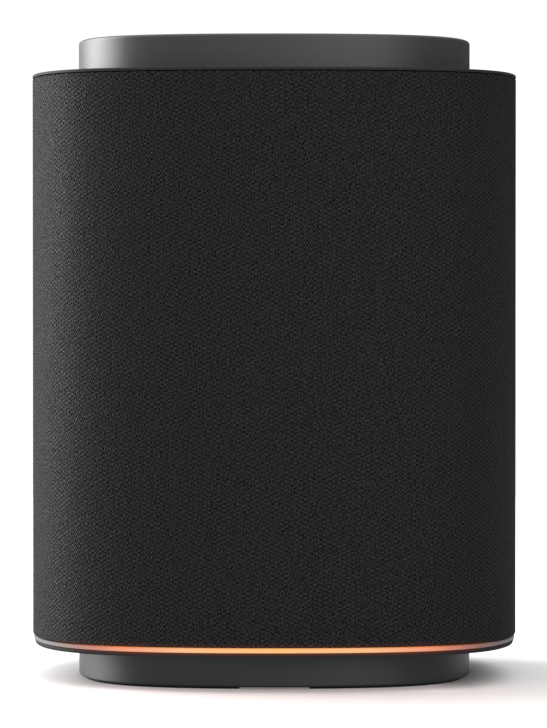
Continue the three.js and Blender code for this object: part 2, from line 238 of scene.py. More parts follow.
# %% [markdown]
# ## The floor
# The floor is a plain white sheet. White throws much light up at a dark cloth. In a studio black cards keep it off;
# here the floor is grey for every ray but the camera's. Two small effects of light are painted into the floor's
# material, where they keep their place: a painted glow, the strip's amber tint on the floor in front of the foot,
# and painted light, a weak emission that lifts the shade in the gap under the front edge.

# %% Floor
FLOOR_SIZE = 1.8
FLOOR_BACK = 0.1
GLOW_FRONT = 70 * MM
GLOW_NEAR, GLOW_FAR = 30 * MM, 100 * MM
# The colours of the light painted on the floor: the strip's amber glow, and the light in the gap under the base.
PAINTED_GLOW_WHITE = (0.84, 0.75, 0.735)
PAINTED_GAP_LIGHT = (0.16, 0.144, 0.14)

bpy.ops.object.select_all(action="DESELECT")
bpy.ops.mesh.primitive_plane_add(size=FLOOR_SIZE, location=(0, FLOOR_BACK, 0))
floor = bpy.context.object
floor.name = "floor"
paper = Finish("white_floor", (0.84, 0.84, 0.84), 0.7, specular_ior_level=0.2)
east, north, _ = paper.axes(paper.place())
north = north + FLOOR_BACK
from_glow = (east * east + (north + GLOW_FRONT) * (north + GLOW_FRONT)).power(0.5)
white = paper.blend(paper.noise(3, 3), (0.83, 0.83, 0.83), (0.85, 0.85, 0.85))
# Painted glow: the strip's amber light is painted as a tint in the floor's colour in front of the foot.
paper.set("Base Color", paper.blend(from_glow.between(GLOW_FAR, GLOW_NEAR), white, PAINTED_GLOW_WHITE))
# Painted light: a weak emission lifts the shade on the floor in the gap under the front edge.
painted_gap_mask = north.between(-62 * MM, -55 * MM) * north.between(-30 * MM, -40 * MM) * east.size().between(50 * MM, 40 * MM)
paper.set("Emission Color", paper.blend(painted_gap_mask, (0.0, 0.0, 0.0), PAINTED_GAP_LIGHT))
paper.shader.inputs["Emission Strength"].default_value = 1.0
seen = Number(paper, paper.add("ShaderNodeLightPath").outputs["Is Camera Ray"])
dim = paper.add("ShaderNodeBsdfDiffuse", None, {"Color": (0.5, 0.5, 0.5, 1)})
paper.show_instead(1 - seen, dim.outputs["BSDF"])
floor.data.materials.append(paper.material)
print("floor", FLOOR_SIZE, "m wide")

# %% [markdown]
# ## The lamps and the surround
# What the speaker mirrors matters more than what falls on it. So the wall that the camera sees is white, but the
# surround that the surfaces see is a dim room with a bright ceiling, and large soft lamps stand where a highlight is
# wanted: one at the left and behind, and a weak one in front.


# %% Lamps and surround
def lamp(name, kind, energy, place, aim, size):
    """A lamp that stands at a place and faces a point."""
    data = bpy.data.lights.new(name, kind)
    data.energy = energy
    if kind == "SUN":
        data.angle = size
    else:
        data.shape = "RECTANGLE"
        data.size, data.size_y = size
    thing = bpy.data.objects.new(name, data)
    thing.location = place
    thing.rotation_euler = (Vector(aim) - Vector(place)).to_track_quat("-Z", "Y").to_euler()
    bpy.context.collection.objects.link(thing)


def around(azimuth, high, far):
    """A place at a compass angle from the front: 0 is in front, 90 is to the right."""
    turn = math.radians(azimuth)
    return (far * math.sin(turn), -far * math.cos(turn), high)


MIDDLE = (0, 0, cad_high.z / 2)
WALL_BRIGHT = 1.05
lamp("overhead", "SUN", 0.4, (-0.9, 0.25, 1.6), (0, 0, 0), math.radians(60))
lamp("left_softbox", "AREA", 29, around(-115, 0.4, 1.1), MIDDLE, (1.1, 0.9))
lamp("front_fill", "AREA", 6.5, around(28, 0.5, 1.3), MIDDLE, (1.1, 1.0))

world = bpy.data.worlds.new("surround")
bpy.context.scene.world = world
world.use_nodes = True
sky = Graph(world.node_tree)
_, backward, upward = sky.axes(sky.add("ShaderNodeTexCoord").outputs["Generated"])
bright = upward.between(0.2, 0.95) * 1.5 + backward.between(-0.1, -0.9) * 0.5 + 0.1
dim_room = sky.add("ShaderNodeBackground", None, {"Color": (1, 1, 1, 1), "Strength": bright})
white_wall = sky.add("ShaderNodeBackground", None, {"Color": (1, 1, 1, 1), "Strength": WALL_BRIGHT})
to_camera = sky.add("ShaderNodeLightPath").outputs["Is Camera Ray"]
choice = sky.add("ShaderNodeMixShader", None, {
    0: to_camera, 1: dim_room.outputs["Background"], 2: white_wall.outputs["Background"],
})
sky.feed(sky.tree.nodes["World Output"].inputs["Surface"], choice.outputs["Shader"])
print("surround and 3 lamps")

# %% [markdown]
# ## Satin anthracite
# The cap, the deck, the rim and the base are moulded in dark plastic with a fine, even spark-eroded grain. The
# grain is only a few hundredths of a millimetre deep, so it is left to a Bump node, and it breaks the highlight
# into a soft sheen. A slow change of roughness keeps a large plain face from looking dead.


# %% Finishes for the covers
def satin(name, color=(0.033, 0.034, 0.037), roughness=0.42):
    finish = Finish(name, color, roughness, specular_ior_level=0.43)
    grain = finish.noise(5200, 3)
    handled = finish.noise(38, 3)
    finish.set("Base Color", finish.blend(grain, tuple(c * 0.9 for c in color), tuple(c * 1.12 for c in color)))
    finish.set("Roughness", handled * 0.07 + grain * 0.05 + (roughness - 0.06))
    finish.bump(grain, 0.00002, 0.55)
    return finish.material


satin_cover = satin("satin_anthracite")
satin_button = satin("satin_button", (0.036, 0.037, 0.04), 0.36)
print("satin finishes made")

# %% [markdown]
# ## Light that spills from the strip
# The strip is amber in the middle of the front and redder toward the corners, where it fades out. The last
# millimetre of cloth above it and the trim below it are coloured by its light. That could be left to the bounce of
# light between surfaces, but a real strip is far brighter than a picture can show, so the spill is set as a weak
# emission that fades with height. The rear half of the strip is dark.

# %% Spill and the matt trim
SPILL = 1.25 * MM
SPILL_FULL, SPILL_NONE = 34 * MM, 58 * MM
DARK_REAR = 2 * MM
strip_bottom, strip_top = (corner.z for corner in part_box("light_strip"))
rim_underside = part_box("rim_plate")[0].z


def front_half(finish):
    """1 on the front half of the speaker and 0 on the rear half, with a soft border."""
    _, y, _ = finish.axes(finish.place())
    return (0.0 - y).between(-DARK_REAR, DARK_REAR)


def spill(finish, start, end, color):
    """Adds the strip's light: full at the height where it starts, none where it ends."""
    x, _, z = finish.axes(finish.place())
    near = z.between(end, start) * x.size().between(SPILL_NONE, SPILL_FULL) * front_half(finish)
    finish.set("Emission Color", finish.blend(near, (0.0, 0.0, 0.0), color))
    finish.shader.inputs["Emission Strength"].default_value = 1.0


def trim(name, lit_by_strip):
    """Matt dark plastic, for the deck, and for the rim that the strip lights."""
    finish = Finish(name, (0.015, 0.015, 0.016), 0.7, specular_ior_level=0.16)
    grain = finish.noise(4200, 3)
    finish.set("Base Color", finish.blend(grain, (0.012, 0.012, 0.013), (0.019, 0.019, 0.02)))
    finish.set("Roughness", grain * 0.12 + 0.62)
    finish.bump(grain, 0.00002, 0.5)
    if lit_by_strip:
        spill(finish, strip_bottom, rim_underside, (0.07, 0.011, 0.003))
    return finish.material


deck_trim = trim("matt_trim", False)
rim_trim = trim("lit_trim", True)
print("spill reaches", round(SPILL / MM, 2), "mm")

# %% [markdown]
# ## Woven cloth
# Speaker cloth is a coarse plain weave: bundles of upright threads pass over one crosswise yarn and under the
# next. A bundle is three thin threads, 1.2 mm from one bundle to the next, and the crosswise yarns lie 0.56 mm
# apart. The relief comes from sine waves along the cloth's own UV map, measured in metres: one wave for the bundles,
# one three times finer for their threads, and one for the crosswise yarns, multiplied so that high and low places
# are laid like bricks. The finer wave is stronger at some stitches than at others, and the yarns wander a little, as
# they do in a real cloth.
#
# The low places are pores, and there a nearly black matt surface is painted in. It stands partly for the dark
# inside seen through the gaps and partly for painted shade between the yarns. The thread is spun from mixed fibres,
# so every visible piece of it has its own shade. Each shade is taken less the mean of two neighbours, so that the
# cloth stays even when it is seen from further off.


# %% Finish for the cloth
BUNDLE = 1.2 * MM
CROSSWISE = 0.56 * MM
RELIEF = 0.12 * MM
PORE_SHADE_BLACK = (0.001, 0.001, 0.001, 1)


def woven():
    finish = Finish("charcoal_weave", (0.02, 0.02, 0.02), 0.62, specular_ior_level=0.24)
    cloth = finish.add("ShaderNodeUVMap", {"uv_map": "cloth"}).outputs["UV"]
    wander = finish.add("ShaderNodeTexNoise", None, {"Vector": cloth, "Scale": 420.0, "Detail": 1.0})
    across, up, _ = finish.axes(cloth)
    drift_x, drift_y, _ = finish.axes(wander.outputs["Color"])
    across = across / BUNDLE + drift_x * 0.25
    up = up / CROSSWISE + drift_y * 0.5
    bundle, thread = (across * math.pi).sine(), (across * (3 * math.pi)).sine()
    slub = finish.random((across * 1.5).whole(), up.whole()) - 0.25
    height = (bundle * 0.4 + thread * slub * 1.7) * (up * math.pi).sine()
    column, row = (across * 6).whole(), (up * 2).whole()
    beside = finish.random(column + 1, row) + finish.random(column, row + 1)
    shade = finish.random(column, row) - beside * 0.5
    fibre = finish.noise(5200, 2, cloth)
    shows = (height * 0.46 + 0.5) * (shade * 0.85 + 0.62)
    finish.set("Base Color", finish.blend(fibre, (0.022, 0.022, 0.0222), (0.036, 0.036, 0.0364)))
    finish.set("Roughness", 0.66 - shows * 0.1)
    finish.bump(height, RELIEF, 1.0)
    # Painted shade: the low places of the relief turn nearly black, partly the dark inside seen through the gaps and
    # partly the shade between the yarns.
    pore_shade = finish.add("ShaderNodeBsdfDiffuse", None, {"Color": PORE_SHADE_BLACK})
    finish.show_instead(shows.between(0.8, 0.02), pore_shade.outputs["BSDF"])
    spill(finish, strip_top, strip_top + SPILL, (0.1, 0.014, 0.0))
    return finish.material


cloth_finish = woven()
print("weave:", BUNDLE / MM, "by", CROSSWISE / MM, "mm")

# %% [markdown]
# ## The strip of light
# The strip is a frosted ring with lamps behind its front. It glows amber in the middle and fades through salmon
# to unlit grey at the sides, so its colour depends on how far round the front the point lies.


# %% Finish for the light strip
STRIP_HALF = 63 * MM


def lit_strip():
    finish = Finish("lit_diffuser", (0.14, 0.14, 0.14), 0.42, specular_ior_level=0.15)
    x, _, _ = finish.axes(finish.place())
    reach = x.size() / STRIP_HALF
    glow = finish.ramp(reach, [
        (0.0, (0.86, 0.40, 0.08)), (0.36, (0.84, 0.38, 0.13)), (0.61, (0.74, 0.19, 0.06)),
        (0.70, (0.48, 0.11, 0.03)), (0.81, (0.17, 0.04, 0.01)), (0.91, (0.02, 0.0, 0.0)), (1.0, (0.0, 0.0, 0.0)),
    ])
    finish.set("Emission Color", finish.blend(front_half(finish), (0.0, 0.0, 0.0), glow))
    finish.shader.inputs["Emission Strength"].default_value = 1.0
    finish.set("Roughness", finish.noise(2600, 2) * 0.12 + 0.36)
    return finish.material


strip_finish = lit_strip()
print("strip glows over", round(2 * STRIP_HALF / MM), "mm")

# %% [markdown]
# ## Rubber, mouldings and paint
# The feet are matt rubber that has picked up a little pale dust. The plain black mouldings, inside and under the
# speaker, have a coarser grain than the covers. The marks on the buttons are pad-printed in pale grey paint.


# %% Finishes for rubber, black mouldings and paint
def rubber():
    finish = Finish("matt_rubber", (0.012, 0.012, 0.013), 0.88, specular_ior_level=0.3)
    dust = finish.noise(160, 5).between(0.5, 0.85)
    grain = finish.noise(2400, 3)
    finish.set("Base Color", finish.blend(dust, (0.011, 0.011, 0.012), (0.03, 0.03, 0.031)))
    finish.set("Roughness", grain * 0.12 + 0.8)
    finish.bump(grain, 0.00004, 0.5)
    return finish.material


def moulding(name, color, roughness, grain_scale):
    finish = Finish(name, color, roughness)
    grain = finish.noise(grain_scale, 4)
    flow = finish.noise(24, 3)
    finish.set("Base Color", finish.blend(flow, tuple(c * 0.8 for c in color), tuple(c * 1.25 for c in color)))
    finish.set("Roughness", grain * 0.14 + flow * 0.08 + (roughness - 0.1))
    finish.bump(grain, 0.00004, 0.5)
    return finish.material


def pale_paint():
    finish = Finish("mark_paint", (0.5, 0.5, 0.51), 0.5)
    film = finish.noise(3000, 3)
    finish.set("Base Color", finish.blend(film, (0.42, 0.42, 0.43), (0.56, 0.56, 0.57)))
    finish.set("Roughness", film * 0.2 + 0.4)
    return finish.material


rubber_finish = rubber()
black_moulding = moulding("black_moulding", (0.016, 0.016, 0.017), 0.55, 1800)
panel_moulding = moulding("panel_moulding", (0.021, 0.021, 0.023), 0.48, 4200)
mark_paint = pale_paint()
print("rubber, moulding and paint finishes made")

# %% [markdown]
# ## Metals, boards and paper
# Nothing of these shows while the cloth is on, but each piece inside has its own finish all the same: plated steel
# with rolling marks, extruded aluminium, ground ferrite, lacquered copper wire, green solder mask over copper
# tracks, pressed paper pulp, and a flat cable with its row of conductors.


# %% Finishes for the pieces inside
WIRE = 0.24 * MM
CONDUCTOR = 0.5 * MM


def metal(name, color, roughness, stretch):
    """Metal with fine lines along one axis: stretch is the noise scale along X, Y and Z."""
    finish = Finish(name, color, roughness, metallic=1.0)
    lines = finish.add("ShaderNodeMapping", None, {"Vector": finish.place(), "Scale": stretch}).outputs["Vector"]
    brushed = finish.noise(1.0, 4, lines)
    stain = finish.noise(45, 4)
    finish.set("Base Color", finish.blend(stain, tuple(c * 0.82 for c in color), color))
    finish.set("Roughness", brushed * 0.2 + stain * 0.1 + (roughness - 0.14))
    finish.bump(brushed, 0.00001, 0.4)
    return finish.material


def ferrite():
    finish = Finish("ground_ferrite", (0.04, 0.04, 0.042), 0.6, specular_ior_level=0.7)
    grit = finish.noise(1500, 5)
    finish.set("Base Color", finish.blend(grit, (0.026, 0.026, 0.028), (0.062, 0.061, 0.062)))
    finish.set("Roughness", grit * 0.3 + 0.4)
    finish.bump(grit, 0.00005, 0.6)
    return finish.material


def solder_mask():
    finish = Finish("solder_mask", (0.008, 0.07, 0.028), 0.32)
    cells = finish.add("ShaderNodeTexVoronoi", {"feature": "DISTANCE_TO_EDGE"}, {
        "Vector": finish.place(), "Scale": 420.0, "Randomness": 0.7,
    })
    track = 1 - Number(finish, cells.outputs["Distance"]).between(0.04, 0.1)
    pads = finish.add("ShaderNodeTexVoronoi", None, {"Vector": finish.place(), "Scale": 260.0, "Randomness": 0.6})
    pad = 1 - Number(finish, pads.outputs["Distance"]).between(0.13, 0.17)
    mask = finish.blend(track, (0.007, 0.062, 0.026), (0.014, 0.12, 0.045))
    finish.set("Base Color", finish.blend(pad, mask, (0.62, 0.6, 0.55)))
    finish.set("Metallic", pad)
    finish.set("Roughness", finish.noise(900, 3) * 0.15 + 0.25)
    finish.bump(track * 0.5 + pad, 0.00003, 0.7)
    return finish.material


def pulp():
    finish = Finish("pressed_pulp", (0.02, 0.02, 0.021), 0.88, specular_ior_level=0.25)
    fibres = finish.noise(1300, 6, roughness=0.7)
    blotch = finish.noise(70, 4)
    finish.set("Base Color", finish.blend(fibres * 0.7 + blotch * 0.3, (0.01, 0.01, 0.011), (0.034, 0.033, 0.033)))
    finish.set("Roughness", fibres * 0.2 + 0.75)
    finish.bump(fibres, 0.00008, 0.7)
    return finish.material


def winding():
    finish = Finish("copper_winding", (0.6, 0.27, 0.12), 0.32, metallic=1.0)
    _, _, z = finish.axes(finish.place())
    # Painted shade: the copper is darker between the turns of wire, where shade falls; the same wave is the relief of
    # the turns.
    wire_relief_and_shade = (z * (math.pi / WIRE)).sine().size()
    finish.set("Base Color", finish.blend(wire_relief_and_shade, (0.2, 0.07, 0.03), (0.66, 0.3, 0.14)))
    finish.set("Roughness", finish.noise(700, 3) * 0.16 + 0.24)
    finish.bump(wire_relief_and_shade, 0.00006, 0.8)
    return finish.material


def flat_cable():
    finish = Finish("flat_cable", (0.6, 0.58, 0.52), 0.45)
    x, _, _ = finish.axes(finish.place())
    conductor = (x * (math.pi / CONDUCTOR)).sine().size().between(0.45, 0.7)
    finish.set("Base Color", finish.blend(conductor, (0.62, 0.61, 0.57), (0.4, 0.37, 0.3)))
    finish.set("Roughness", finish.noise(600, 3) * 0.15 + 0.35)
    finish.bump(conductor, 0.00003, 0.6)
    return finish.material


# %% [markdown]
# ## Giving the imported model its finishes
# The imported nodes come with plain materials. Each has a slot that says what it is made of, and the finish for that
# slot goes on the node. The covers made below use the same finishes.

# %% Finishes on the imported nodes
finishes = {
    "satin_cover": satin_cover,
    "woven_fabric": cloth_finish,
    "light_diffuser": strip_finish,
    "soft_rubber": rubber_finish,
    "black_plastic": black_moulding,
    "steel": metal("plated_steel", (0.52, 0.53, 0.55), 0.36, (300, 300, 4000)),
    "aluminium": metal("extruded_aluminium", (0.62, 0.63, 0.65), 0.42, (4000, 250, 4000)),
    "circuit_board": solder_mask(),
    "ferrite": ferrite(),
    "cone_paper": pulp(),
    "copper_coil": winding(),
    "flat_cable": flat_cable(),
}
for subpart in frame["record"]["subparts"]:
    for material_slot in frame["nodes"][subpart["node"]].material_slots:
        material_slot.material = finishes[subpart["material_slot"]]


# %% [markdown]
# ## The outline that every cover shares
# The plan is a square with bulging sides. It could be drawn point by point, but a smooth curve needs only eight
# corners: a circle of eight points is added, the four diagonal ones are pushed out, and Subdivision Surface turns
# the ring into a smooth curve. A cover is then this ring, extruded and resized step by step along its profile.
# Round pieces are made in the same way from a plain circle.


# %% Rings and profiles
SMOOTHING = 5
PLAN_BODY = 2.83
PLAN_CAP = 2.77


def corner_share(power):
    """How far out the diagonal points of the smooth plan lie, as a share of its half width."""
    return 2 ** (-1 / power)


def start_ring(half, high, power):
    """A smooth rounded-square ring, as loose edges."""
    # Smoothing draws each point to (before + 4 * itself + after) / 6. Solved for the eight points, that gives how far
    # out they have to start, as a share of the half width.
    diagonal = (6 * corner_share(power) - 1.5) / 3.5
    side = (3 - diagonal) / 2
    bpy.ops.object.select_all(action="DESELECT")
    bpy.ops.mesh.primitive_circle_add(vertices=8, radius=half, location=(0, 0, 0))
    piece = bpy.context.object
    for vertex in piece.data.vertices:
        x, y, _ = vertex.co
        on_side = min(abs(x), abs(y)) < half * 0.1
        reach = side if on_side else diagonal * math.sqrt(2)
        vertex.co = (x * reach, y * reach, high)
    smooth = piece.modifiers.new("smooth", "SUBSURF")
    smooth.levels = smooth.render_levels = SMOOTHING
    bpy.ops.object.modifier_apply(modifier="smooth")
    return piece


def grow(piece, name, profile, ends):
    """Extrudes a ring through the (reach, height) steps of a profile. The ends are joined, filled or open."""
    piece.name = piece.data.name = name
    half, high = profile[0]
    bpy.ops.object.mode_set(mode="EDIT")
    bpy.ops.mesh.select_all(action="SELECT")
    steps = profile[1:] + ([profile[0]] if ends == "joined" else [])
    for next_half, next_high in steps:
        rise = (next_high - high) * MM
        bpy.ops.mesh.extrude_edges_move(TRANSFORM_OT_translate={"value": (0, 0, rise)})
        scale = next_half / half
        bpy.ops.transform.resize(value=(scale, scale, 1), center_override=(0, 0, next_high * MM))
        half, high = next_half, next_high
    bpy.ops.mesh.select_all(action="SELECT")
    bpy.ops.mesh.remove_doubles(threshold=1e-6)
    if ends == "filled":
        bpy.ops.mesh.select_all(action="SELECT")
        bpy.ops.mesh.fill_holes(sides=0)
    bpy.ops.mesh.select_all(action="SELECT")
    bpy.ops.mesh.normals_make_consistent(inside=False)
    bpy.ops.object.mode_set(mode="OBJECT")
    return piece


def cover(name, profile, power=PLAN_BODY, ends="joined"):
    """A rounded-square shell or plate, from a profile of (half width, height) in millimetres."""
    half, high = profile[0]
    return grow(start_ring(half * MM, high * MM, power), name, profile, ends)


def turned(name, profile, points=64, ends="filled"):
    """A round piece, from a profile of (radius, height) in millimetres."""
    radius, high = profile[0]
    bpy.ops.object.select_all(action="DESELECT")
    bpy.ops.mesh.primitive_circle_add(vertices=points, radius=radius * MM, location=(0, 0, high * MM))
    bpy.ops.object.transform_apply(location=True, rotation=True, scale=True)
    return grow(bpy.context.object, name, profile, ends)


def rounded(half, high, radius, start, end, steps=5):
    """Profile points of an arc about (half, high), from one angle to another in degrees."""
    angles = [math.radians(start + (end - start) * i / steps) for i in range(steps + 1)]
    return [(half + radius * math.cos(a), high + radius * math.sin(a)) for a in angles]


print("plans:", PLAN_BODY, "for the body,", PLAN_CAP, "for the cap and the base")

# %% [markdown]
# ## Work at the bench
# A few jobs come back for many pieces: to select a part of a mesh and work on it, to move a piece to its place, to
# make a plain block, to copy a piece, to cut one with another, and at the end to give it its material and its place
# in the assembly. Each has a short name here, so that the cells below read as the steps of the work.


# %% Selecting, moving, cutting and finishing
def lone(piece):
    """Makes one object the only one that is selected, and the active one."""
    bpy.ops.object.select_all(action="DESELECT")
    piece.select_set(True)
    bpy.context.view_layer.objects.active = piece


def choose(piece, kind, test):
    """Enters edit mode with the vertices, edges or faces of one piece that pass a test selected."""
    lone(piece)
    bpy.ops.object.mode_set(mode="EDIT")
    bpy.ops.mesh.select_mode(type=kind)
    bpy.ops.mesh.select_all(action="DESELECT")
    bpy.ops.object.mode_set(mode="OBJECT")
    mesh = piece.data
    things = {"VERT": mesh.vertices, "EDGE": mesh.edges, "FACE": mesh.polygons}[kind]
    for thing in things:
        if test(thing):
            thing.select = True
    bpy.ops.object.mode_set(mode="EDIT")


def leave():
    """Selects everything, turns the faces outwards and leaves edit mode."""
    bpy.ops.mesh.select_all(action="SELECT")
    bpy.ops.mesh.normals_make_consistent(inside=False)
    bpy.ops.object.mode_set(mode="OBJECT")


def settle(piece, place=(0, 0, 0), turn=(0, 0, 0)):
    """Turns a piece about the origin, moves it, in millimetres, and leaves its object at the origin."""
    lone(piece)
    piece.rotation_euler = [math.radians(angle) for angle in turn]
    piece.location = Vector(place) * MM
    bpy.ops.object.transform_apply(location=True, rotation=True, scale=True)
    return piece


def block(name, low, high):
    """A block between two corners, in millimetres."""
    low, high = Vector(low) * MM, Vector(high) * MM
    bpy.ops.object.select_all(action="DESELECT")
    bpy.ops.mesh.primitive_cube_add(size=1, location=(low + high) / 2, scale=high - low)
    piece = bpy.context.object
    piece.name = piece.data.name = name
    bpy.ops.object.transform_apply(location=True, rotation=True, scale=True)
    return piece


def copied(piece, name):
    """A copy of a piece with a mesh of its own."""
    copy = piece.copy()
    copy.data = piece.data.copy()
    copy.name = copy.data.name = name
    bpy.context.collection.objects.link(copy)
    return copy


def cut(piece, cutter):
    """Takes a cutter out of a piece and deletes the cutter."""
    lone(piece)
    boolean = piece.modifiers.new("cut", "BOOLEAN")
    boolean.operation = "DIFFERENCE"
    boolean.object = cutter
    bpy.ops.object.modifier_apply(modifier="cut")
    bpy.data.objects.remove(cutter)


def finish_piece(piece, material, slot, body, *nodes, smooth_angle=35):
    """Gives a piece its finish and its place in the assembly, and hides the plain nodes it stands for."""
    piece.data.materials.clear()
    piece.data.materials.append(material)
    lone(piece)
    bpy.ops.object.shade_smooth_by_angle(angle=math.radians(smooth_angle))
    weighted = piece.modifiers.new("normals", "WEIGHTED_NORMAL")
    weighted.keep_sharp = True
    bpy.ops.object.modifier_apply(modifier="normals")
    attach(piece, body)
    if nodes:
        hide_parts(*nodes)
    print(piece.name, len(piece.data.polygons), "faces")


# %% [markdown]
# ## Rim, strip and deck
# The rim is the flat ring that closes the body below, the strip is the frosted ring that lies on it, and the deck is
# the thin plate that closes the body above, with a slot for the cable to the cap. Each is one closed ring or plate.
# Their edges are arcs in the profile, because a moulded edge is never sharp, and the thin bright lines along the
# real edges are those small rounds catching the light. The cloth is laid a little over the strip and the deck, so
# no gap opens between them.

# %% Rim, strip and deck
rim_low, rim_high = (corner.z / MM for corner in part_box("rim_plate"))
strip_low, strip_high = (corner.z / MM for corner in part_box("light_strip"))
deck_low, deck_high = (corner.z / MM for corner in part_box("top_deck"))
body_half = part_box("fabric_sleeve")[1].x / MM

OVERLAP = 0.22
RIM_INSIDE = 46
rim_edge = body_half - 0.5
rim_step = rim_low + 0.42
rim = cover("rim_plate_cover", [
    (RIM_INSIDE, rim_low), (rim_edge - 0.25, rim_low), (rim_edge - 0.18, rim_low + 0.07),
    (rim_edge - 0.18, rim_step - 0.1), (rim_edge - 0.12, rim_step), (rim_edge, rim_step + 0.12),
    (rim_edge, rim_high - 0.12), (rim_edge - 0.12, rim_high), (RIM_INSIDE, rim_high),
])
finish_piece(rim, rim_trim, "satin_cover", "cabinet", "rim_plate")

STRIP_INSIDE = 50
LENS_EDGE = 0.15
lens_high = strip_high - OVERLAP - 0.03
lens_half = body_half - 0.3
strip = cover("light_strip_lens", [
    (STRIP_INSIDE, strip_low), (lens_half - LENS_EDGE, strip_low), (lens_half, strip_low + LENS_EDGE),
    (lens_half, lens_high - LENS_EDGE), (lens_half - LENS_EDGE, lens_high), (STRIP_INSIDE, lens_high),
])
finish_piece(strip, strip_finish, "light_diffuser", "cabinet", "light_strip")

SKIRT_INSIDE, SKIRT_OUTSIDE = 58, 59.6
lip = deck_high - 0.75
deck = cover("top_deck_cover", [
    (SKIRT_INSIDE, lip), (SKIRT_INSIDE, deck_low), (SKIRT_OUTSIDE, deck_low), (SKIRT_OUTSIDE, lip),
    *rounded(body_half - 0.15, lip + 0.15, 0.15, -90, 0, 3), *rounded(body_half - 0.2, deck_high - 0.2, 0.2, 0, 90, 3),
], ends="filled")
cut(deck, block("cable_slot", (-9, 28, deck_low), (9, 32, deck_high + 1)))
finish_piece(deck, deck_trim, "satin_cover", "cabinet", "top_deck")

# %% [markdown]
# ## The cloth sleeve
# The cloth is one piece, wrapped round the open frame and glued along a seam down the rear. It is held tight, so
# it has no folds and a simulation would leave it where it started. It is a tube made like the covers, with both
# hems turned in behind the edge of the frame. The seam is a shallow groove: the rear is cut into narrow upright
# strips of faces, and the line in the middle is pushed in.

# %% Sleeve and seam
HEM = 1.3
FOLD = 0.3
sleeve_low, sleeve_high = (corner.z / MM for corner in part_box("fabric_sleeve"))
sleeve_low, sleeve_high = sleeve_low - OVERLAP, sleeve_high + OVERLAP
tucked = body_half - 2 * FOLD
sleeve = cover("cloth_sleeve", [
    (tucked, sleeve_low + HEM), *rounded(body_half - FOLD, sleeve_low + FOLD, FOLD, 180, 360, 8),
    *rounded(body_half - FOLD, sleeve_high - FOLD, FOLD, 0, 180, 8), (tucked, sleeve_high - HEM),
], ends="open")

SEAM_HALF = 0.55
SEAM_DEEP = 0.25
for place in (-SEAM_HALF, -SEAM_HALF / 2, SEAM_HALF / 2, SEAM_HALF):
    choose(sleeve, "FACE", lambda face: face.center.y > 0)
    bpy.ops.mesh.bisect(plane_co=(place * MM, 0, 0), plane_no=(1, 0, 0))
    bpy.ops.object.mode_set(mode="OBJECT")
choose(sleeve, "VERT", lambda v: abs(v.co.x) < SEAM_HALF * 0.1 * MM and v.co.y > (body_half - FOLD) * MM)
bpy.ops.transform.translate(value=(0, -SEAM_DEEP * MM, 0))
bpy.ops.object.mode_set(mode="OBJECT")
print("sleeve from", round(sleeve_low, 2), "to", round(sleeve_high, 2), "mm")

# %% [markdown]
# ## Laying the weave
# The UV map holds metres along the cloth, so the weave keeps one size all the way round. An unwrap would stretch it,
# so each point is laid by its distance round from the seam and by its height. Solidify gives the cloth its
# thickness.

# %% Cloth map and thickness
CLOTH = 0.28


def bearing(place):
    """The angle round the speaker from the rear seam, 0 to a full turn."""
    return math.atan2(place.x, place.y) % math.tau


def lay_cloth_map(piece):
    """A UV map in metres: round the cloth from the rear seam, and up it. Returns the distance round."""
    mesh = piece.data
    ring = [v.co for v in mesh.vertices if abs(v.co.z - sleeve_low * MM) < 1e-6]
    ring.sort(key=bearing)
    if bearing(ring[-1]) > math.tau - 1e-4:
        ring.insert(0, ring.pop())
    # The ring that is measured lies at the fold of the hem, a little inside the face of the cloth.
    grown = body_half / (body_half - FOLD)
    bearings, reached = [0.0], [0.0]
    for before, after in zip(ring, ring[1:] + ring[:1]):
        bearings.append(bearing(after) or math.tau)
        reached.append(reached[-1] + (after - before).length * grown)
    bearings[-1] = math.tau
    layer = mesh.uv_layers.new(name="cloth")
    for face in mesh.polygons:
        for loop in face.loop_indices:
            place = mesh.vertices[mesh.loops[loop].vertex_index].co
            at_seam = abs(place.x) < 1e-6 and place.y > 0
            turn = (0 if face.center.x > 0 else math.tau) if at_seam else bearing(place)
            layer.data[loop].uv = (numpy.interp(turn, bearings, reached), place.z)
    return reached[-1]


cloth_round = lay_cloth_map(sleeve)
cloth_long = (sleeve_high - sleeve_low + 2 * (HEM + (math.pi / 2 - 1) * FOLD)) * MM
lone(sleeve)
thick = sleeve.modifiers.new("thick", "SOLIDIFY")
thick.thickness = CLOTH * MM
thick.offset = -1
bpy.ops.object.modifier_apply(modifier="thick")
finish_piece(sleeve, cloth_finish, "woven_fabric", "cabinet", "fabric_sleeve", smooth_angle=50)
print("cloth", round(cloth_round / MM, 1), "by", round(cloth_long / MM, 1), "mm")

# %% [markdown]
# ## The control cap
# The cap is the short ring that stands on the deck and carries the panel. It has a small round on its top edge,
# which draws the bright line round it, and a step inside, on which the panel lies. It is made like the rim, with
# the narrower plan of the cap.

# %% Cap
WALL = 2.4
CAP_ROUND = 0.7
CAP_PROUD = 0.2
cap_low, cap_high = (corner.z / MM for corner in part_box("top_cap"))
cap_high += CAP_PROUD
cap_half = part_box("top_cap")[1].x / MM
panel_low, panel_high = (corner.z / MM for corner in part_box("control_panel"))
panel_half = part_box("control_panel")[1].x / MM
shelf_reach = panel_half - 1.7
shelf_high = panel_high - 1

cap = cover("control_cap_cover", [
    (shelf_reach, shelf_high), (panel_half + 0.3, shelf_high), (panel_half + 0.3, cap_high - 0.2),
    (panel_half + 0.5, cap_high), *rounded(cap_half - CAP_ROUND, cap_high - CAP_ROUND, CAP_ROUND, 90, 0, 8),
    *rounded(cap_half - 0.2, cap_low + 0.2, 0.2, 0, -90, 2),
    (cap_half - WALL, cap_low), (cap_half - WALL, panel_low - 0.3), (shelf_reach, panel_low - 0.3),
], PLAN_CAP)
finish_piece(cap, satin_cover, "satin_cover", "cabinet", "top_cap")

